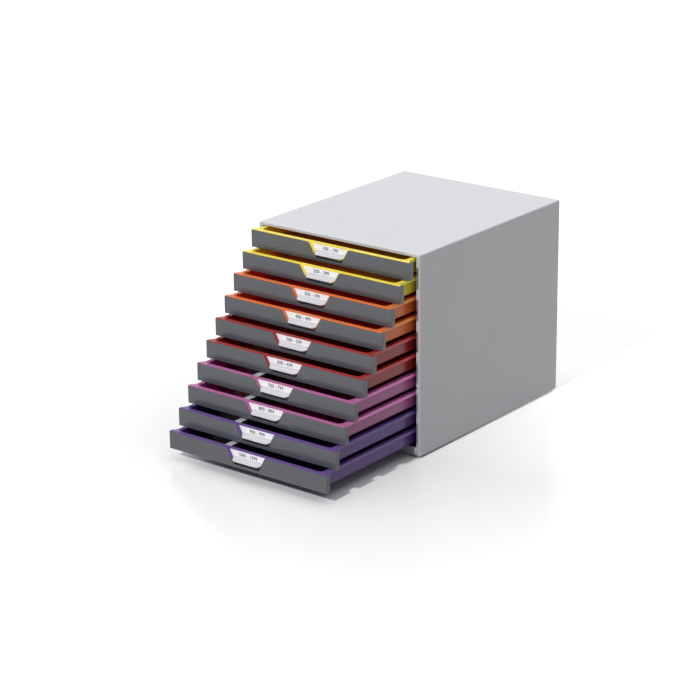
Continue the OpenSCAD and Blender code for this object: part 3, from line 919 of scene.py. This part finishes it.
# Each sheet's own front and back depth, counted from the window's face, and its gap to the notch's slopes
WINDOW, CARD, CHEEKS = (0.0, 1.1, 0.2), (1.2, 1.6, 0.5), (1.7, 3.0, 0.0)
CHEEK_END = 0.62
window_sheet = sheet_mesh("window_sheet", *WINDOW)
card_sheet = sheet_mesh("card_sheet", *CARD)
cheek_sheet = sheet_mesh("cheek_sheet", *CHEEKS, spans=((-1.0, -CHEEK_END), (CHEEK_END, 1.0)))
print("a sheet has", len(window_sheet.polygons), "faces")

# %% Put the labels into the drawers
def placed_copy(mesh, name, k):
    """A copy of a mesh of the top drawer, moved to drawer k."""
    copy = mesh.copy()
    copy.transform(Matrix.Translation(front_corner(k) - top_drawer))
    return add_object(name, copy)


for k in DRAWERS:
    dress(placed_copy(window_sheet, f"label_window_{k:02d}_moulded", k), f"label_window_{k:02d}")
    dress(placed_copy(card_sheet, f"label_card_{k:02d}_printed", k), f"label_card_{k:02d}")
    cheeks = placed_copy(cheek_sheet, f"lip_cheeks_{k:02d}", k)
    tray_slot = slot_of[f"drawer_tray_{k:02d}"]
    cheeks.data.materials.append(finishes[tray_slot])
    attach(cheeks, f"drawer_{k:02d}")
print("labels in", len(DRAWERS), "drawers")

# %% [markdown]
# ## Numbers on the cards
# The cards carry plain number ranges, as on sorting drawers. A picture of them would blur from close by, so
# the ink is a thin mesh. Blender's own font is made a mesh first, and then stood upright just in front of
# the paper and behind the clear window.

# %% Print the number ranges
TEXT_SIZE = 7.0 * MM
TEXT_PLACE = Vector((0.0, 4.46, 18.2)) * MM
INK_HALF_THICKNESS, INK_SPREAD = 0.012 * MM, 0.2 * MM
INK_MERGE_DISTANCE = 0.0005 * MM
ink = plastic("printed_ink", srgb(48, 48, 58), 0.6, 0.2 * MM, 0.01 * MM, variation=0.08, wear_and_highlight=0.0)

def text_mesh(name, text):
    """The text as a thin mesh that lies centred on the origin."""
    letters = bpy.data.curves.new(name, "FONT")
    letters.body = text
    letters.size = TEXT_SIZE
    letters.align_x = "CENTER"
    letters.align_y = "CENTER"
    letters.extrude = INK_HALF_THICKNESS
    letters.offset = INK_SPREAD
    letters.resolution_u = 3
    flat = add_object(name, letters)
    graph = bpy.context.evaluated_depsgraph_get()
    mesh = bpy.data.meshes.new_from_object(flat.evaluated_get(graph))
    bpy.data.objects.remove(flat)
    return mesh


upright = Matrix.Rotation(math.radians(90), 4, "X")
for k in DRAWERS:
    name = f"card_number_{k:02d}"
    text = f"{100 * k} - {100 * k + 99}"
    mesh = text_mesh(name, text)
    mesh.transform(Matrix.Translation(front_corner(k) + TEXT_PLACE) @ upright)
    work = bmesh.new()
    work.from_mesh(mesh)
    bmesh.ops.remove_doubles(work, verts=work.verts, dist=INK_MERGE_DISTANCE)
    work.to_mesh(mesh)
    work.free()
    mesh.materials.clear()
    mesh.materials.append(ink)
    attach(add_object(name, mesh), f"drawer_{k:02d}")
    print("drawer", k, "reads", text)

# %% [markdown]
# ## Dividers
# The four lowest trays have a clear strip that stands on the floor and parts off a narrow lane. It is a long
# channel, open below, with two grooves along its top. The tree of rounded bars serves again: one bar is the
# solid, and a Mesh Boolean cuts the channel and the grooves out of it. Both cutters reach past the strip.

# %% A tree for grooved channels
CHANNEL_BARS = ("Strip", "Channel", "Grooves")
channel_tree, given, result = tree_of_bars("grooved channel", CHANNEL_BARS)
cut = add_node(channel_tree, "GeometryNodeMeshBoolean", operation="DIFFERENCE", solver="EXACT")
for bar in CHANNEL_BARS:
    part = bar_group(channel_tree, given, bar)
    wire(channel_tree, part.outputs["Geometry"], cut.inputs["Mesh 1" if bar == "Strip" else "Mesh 2"])
place_and_finish(channel_tree, given, cut.outputs["Mesh"], result)
print("channel tree:", len(channel_tree.nodes), "nodes")

# %% Make the four dividers
STRIP_X, STRIP_HALF, STRIP_WALL = -37.6, 4.8, 1.2
STRIP_FRONT, STRIP_BACK = 6.9, 341.1
STRIP_FLOOR, STRIP_TOP = 4.1, 25.6
GROOVE_WIDTH, GROOVE_DEPTH = 0.8, 0.4
GROOVE_X = STRIP_HALF / 3
OVERSHOOT = 1.0
channel_sizes = {
    "Strip": ((-STRIP_HALF, STRIP_FRONT, STRIP_FLOOR), (STRIP_HALF, STRIP_BACK, STRIP_TOP), 1, NOWHERE),
    "Channel": ((STRIP_WALL - STRIP_HALF, STRIP_FRONT - OVERSHOOT, STRIP_FLOOR - OVERSHOOT),
                (STRIP_HALF - STRIP_WALL, STRIP_BACK + OVERSHOOT, STRIP_TOP - STRIP_WALL), 1, NOWHERE),
    "Grooves": ((-GROOVE_X - GROOVE_WIDTH / 2, STRIP_FRONT - OVERSHOOT, STRIP_TOP - GROOVE_DEPTH),
                (-GROOVE_X + GROOVE_WIDTH / 2, STRIP_BACK + OVERSHOOT, STRIP_TOP + OVERSHOOT), 2,
                (2 * GROOVE_X, 0, 0)),
}
values = {"Finish": finishes["divider_plastic"], "Edge radius": 0.15 * MM, **bar_values(channel_sizes)}
for k in DRAWERS[6:]:
    node = f"tray_divider_{k:02d}"
    values["Place"] = tuple(front_corner(k) + Vector((STRIP_X * MM, 0.0, 0.0)))
    divider = dress(from_tree(channel_tree, node + "_moulded", values), node)
    beyond = Vector(divider.bound_box[6]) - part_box(node)[1]
    print(node, "is past its node's high corner by", [round(v / MM, 3) for v in beyond], "mm")
